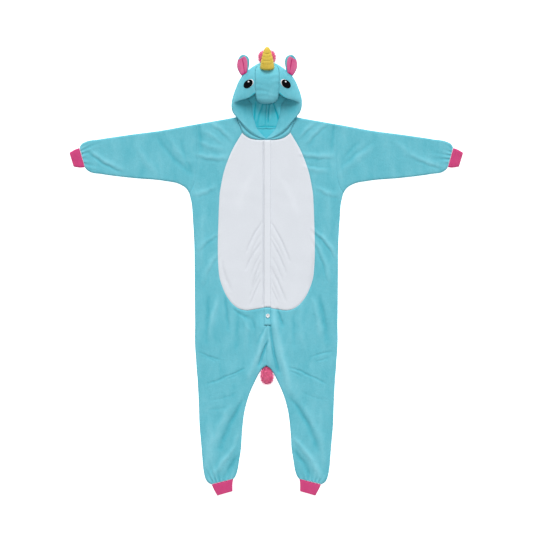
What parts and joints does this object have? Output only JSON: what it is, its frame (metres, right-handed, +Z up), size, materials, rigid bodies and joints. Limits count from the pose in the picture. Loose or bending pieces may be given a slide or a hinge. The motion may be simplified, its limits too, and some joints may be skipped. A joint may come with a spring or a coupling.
{
  "type": "unicorn onesie",
  "caption": "Turquoise plush-fleece hooded onesie laid flat, with a unicorn-head hood, white tummy, fuchsia cuffs, mane and tail, and a yellow horn.",
  "frame": {"origin": "middle of the laid-out garment in plan, on the surface that it lies on", "axes": "+Y from the ankles towards the hood, +X towards the sleeve on the right seen from above, +Z up through the front"},
  "size_m": [1.708, 1.9459, 0.0998],
  "materials": {
    "turquoise_fleece": "matte",
    "white_fleece": "matte",
    "fuchsia_rib": "matte",
    "fuchsia_pile": "matte",
    "pink_plush": "matte",
    "yellow_plush": "matte",
    "white_felt": "matte",
    "black_felt": "matte",
    "white_plastic": "satin"
  },
  "bodies": {
    "root": {"back": "turquoise_fleece", "front_left": "turquoise_fleece", "front_right": "turquoise_fleece", "tummy_left": "white_fleece", "tummy_right": "white_fleece", "placket": "white_fleece", "placket_lower": "turquoise_fleece", "button": "white_plastic", "sleeve_left": "turquoise_fleece", "sleeve_right": "turquoise_fleece", "wrist_cuff_left": "fuchsia_rib", "wrist_cuff_right": "fuchsia_rib", "ankle_cuff_left": "fuchsia_rib", "ankle_cuff_right": "fuchsia_rib", "hood_side_left": "turquoise_fleece", "hood_side_right": "turquoise_fleece", "hood_centre": "turquoise_fleece", "snout": "turquoise_fleece", "horn": "yellow_plush", "mane": "fuchsia_pile", "tail": "fuchsia_pile", "ear_outer_left": "turquoise_fleece", "ear_outer_right": "turquoise_fleece", "ear_inner_left": "pink_plush", "ear_inner_right": "pink_plush", "eye_rim_left": "white_felt", "eye_rim_right": "white_felt", "eye_left": "black_felt", "eye_right": "black_felt", "eye_glint_left": "white_felt", "eye_glint_right": "white_felt"}
  },
  "joints": []
}
